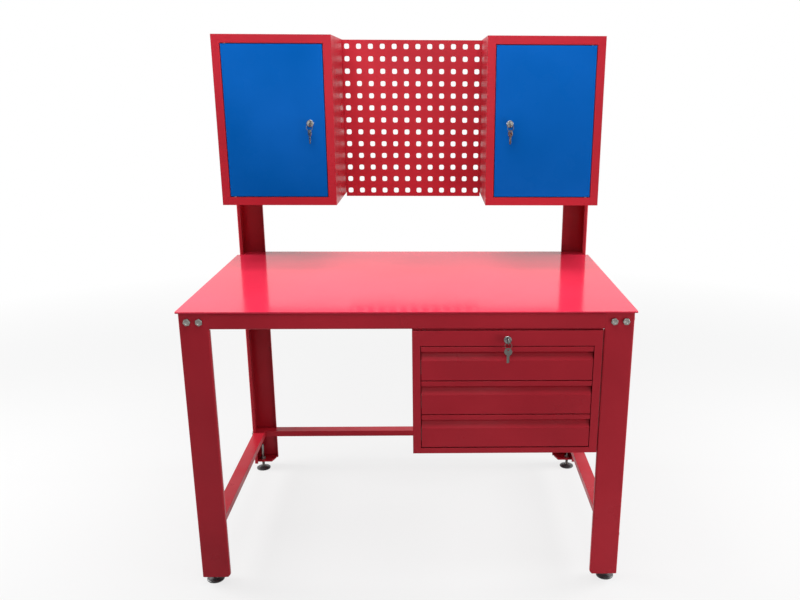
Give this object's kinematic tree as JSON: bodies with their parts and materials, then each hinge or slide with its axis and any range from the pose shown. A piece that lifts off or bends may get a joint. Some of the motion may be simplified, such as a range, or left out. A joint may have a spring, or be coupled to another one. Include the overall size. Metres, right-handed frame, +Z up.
{
  "type": "mechanical workbench",
  "caption": "Steel workbench with overhead lockable cabinets, a pegboard between them, a hanging drawer unit, and levelling feet.",
  "frame": {"origin": "on the floor, under the middle of the bench's overall footprint", "axes": "+X to the right of a user facing the drawers, +Y to the back, +Z up"},
  "size_m": [1.2, 0.8324, 1.505],
  "materials": {
    "red_paint": "semi-gloss powder coat",
    "top_paint": "gloss enamel",
    "blue_paint": "semi-gloss powder coat",
    "zinc": "bright zinc plate",
    "chrome": "polished",
    "key_steel": "nickel plate",
    "foot_plastic": "moulded, matt"
  },
  "bodies": {
    "bench": {"worktop": "top_paint", "worktop_stiffeners": "red_paint", "front_rail": "red_paint", "rear_rail": "red_paint", "side_rails": "red_paint", "joint_plates": "red_paint", "front_leg_left": "red_paint", "front_leg_right": "red_paint", "rear_upright_left": "red_paint", "rear_upright_right": "red_paint", "stretchers": "red_paint", "frame_bolts": "zinc", "frame_nuts": "zinc", "foot_plates": "red_paint", "foot_nuts": "zinc", "pegboard": "red_paint", "cabinet_case_left": "red_paint", "cabinet_case_right": "red_paint", "cabinet_shelves": "red_paint", "shelf_clips": "zinc", "hinge_pins": "zinc", "drawer_case": "red_paint", "drawer_face_frame": "red_paint", "case_brackets": "red_paint", "slide_outer_members": "zinc", "lock_housing_drawer": "chrome"},
    "foot_front_left": {"levelling_foot_front_left": "foot_plastic"},
    "foot_front_right": {"levelling_foot_front_right": "foot_plastic"},
    "foot_rear_left": {"levelling_foot_rear_left": "foot_plastic"},
    "foot_rear_right": {"levelling_foot_rear_right": "foot_plastic"},
    "door_left": {"door_left": "blue_paint", "lock_housing_left": "chrome"},
    "plug_left": {"lock_plug_left": "chrome", "lock_cam_left": "zinc"},
    "door_right": {"door_right": "blue_paint", "lock_housing_right": "chrome"},
    "plug_right": {"lock_plug_right": "chrome", "lock_cam_right": "zinc"},
    "plug_drawer": {"lock_plug_drawer": "chrome", "lock_rod": "zinc"},
    "key_left": {"key_left": "key_steel"},
    "ring_left": {"key_ring_left": "key_steel"},
    "key_right": {"key_right": "key_steel"},
    "ring_right": {"key_ring_right": "key_steel"},
    "key_drawer": {"key_drawer": "key_steel"},
    "lock_bar": {"lock_bar": "zinc"},
    "drawer_1": {"drawer_front_1": "red_paint", "drawer_tray_1": "red_paint", "slide_inner_1": "zinc"},
    "slide_middle_1": {"slide_middle_1": "zinc"},
    "drawer_2": {"drawer_front_2": "red_paint", "drawer_tray_2": "red_paint", "slide_inner_2": "zinc"},
    "slide_middle_2": {"slide_middle_2": "zinc"},
    "drawer_3": {"drawer_front_3": "red_paint", "drawer_tray_3": "red_paint", "slide_inner_3": "zinc"},
    "slide_middle_3": {"slide_middle_3": "zinc"}
  },
  "joints": [
    {"name": "foot_front_left_level", "type": "slide", "parent": "bench", "child": "foot_front_left", "axis": [0, 0, 1], "range_m": [-0.01, 0.012]},
    {"name": "foot_front_right_level", "type": "slide", "parent": "bench", "child": "foot_front_right", "axis": [0, 0, 1], "range_m": [-0.01, 0.012]},
    {"name": "foot_rear_left_level", "type": "slide", "parent": "bench", "child": "foot_rear_left", "axis": [0, 0, 1], "range_m": [-0.01, 0.012]},
    {"name": "foot_rear_right_level", "type": "slide", "parent": "bench", "child": "foot_rear_right", "axis": [0, 0, 1], "range_m": [-0.01, 0.012]},
    {"name": "door_left_hinge", "type": "hinge", "parent": "bench", "child": "door_left", "pos_m": [-0.53175, 0.0878, 1.261], "axis": [0, 0, -1], "range_deg": [0, 115]},
    {"name": "plug_left_turn", "type": "hinge", "parent": "door_left", "child": "plug_left", "pos_m": [-0.29575, 0.0818, 1.2575], "axis": [0, -1, 0], "range_deg": [0, 90]},
    {"name": "door_right_hinge", "type": "hinge", "parent": "bench", "child": "door_right", "pos_m": [0.53175, 0.0878, 1.261], "axis": [0, 0, 1], "range_deg": [0, 115]},
    {"name": "plug_right_turn", "type": "hinge", "parent": "door_right", "child": "plug_right", "pos_m": [0.29575, 0.0818, 1.2575], "axis": [0, 1, 0], "range_deg": [0, 90]},
    {"name": "plug_drawer_turn", "type": "hinge", "parent": "bench", "child": "plug_drawer", "pos_m": [0.261, -0.3907, 0.733], "axis": [0, 1, 0], "range_deg": [0, 90]},
    {"name": "key_left_pull", "type": "slide", "parent": "plug_left", "child": "key_left", "axis": [0, -1, 0], "range_m": [0, 0.03]},
    {"name": "ring_left_swing", "type": "hinge", "parent": "key_left", "child": "ring_left", "pos_m": [-0.29575, 0.0613, 1.2575], "axis": [-1, 0, 0], "range_deg": [-10, 80]},
    {"name": "key_right_pull", "type": "slide", "parent": "plug_right", "child": "key_right", "axis": [0, -1, 0], "range_m": [0, 0.03]},
    {"name": "ring_right_swing", "type": "hinge", "parent": "key_right", "child": "ring_right", "pos_m": [0.29575, 0.0613, 1.2575], "axis": [-1, 0, 0], "range_deg": [-10, 80]},
    {"name": "key_drawer_pull", "type": "slide", "parent": "plug_drawer", "child": "key_drawer", "axis": [0, -1, 0], "range_m": [0, 0.03]},
    {"name": "lock_bar_lift", "type": "slide", "parent": "bench", "child": "lock_bar", "axis": [0, 0, 1], "range_m": [0, 0.01131]},
    {"name": "drawer_1_slide", "type": "slide", "parent": "bench", "child": "drawer_1", "axis": [0, -1, 0], "range_m": [0, 0.45]},
    {"name": "slide_middle_1_travel", "type": "slide", "parent": "bench", "child": "slide_middle_1", "axis": [0, -1, 0], "range_m": [0, 0.225]},
    {"name": "drawer_2_slide", "type": "slide", "parent": "bench", "child": "drawer_2", "axis": [0, -1, 0], "range_m": [0, 0.45]},
    {"name": "slide_middle_2_travel", "type": "slide", "parent": "bench", "child": "slide_middle_2", "axis": [0, -1, 0], "range_m": [0, 0.225]},
    {"name": "drawer_3_slide", "type": "slide", "parent": "bench", "child": "drawer_3", "axis": [0, -1, 0], "range_m": [0, 0.45]},
    {"name": "slide_middle_3_travel", "type": "slide", "parent": "bench", "child": "slide_middle_3", "axis": [0, -1, 0], "range_m": [0, 0.225]}
  ],
  "couplings": [
    {"joint": "plug_drawer_turn", "follows": "lock_bar_lift", "rad_per_m": 138.84},
    {"joint": "slide_middle_1_travel", "follows": "drawer_1_slide", "ratio": 0.5},
    {"joint": "slide_middle_2_travel", "follows": "drawer_2_slide", "ratio": 0.5},
    {"joint": "slide_middle_3_travel", "follows": "drawer_3_slide", "ratio": 0.5}
  ]
}
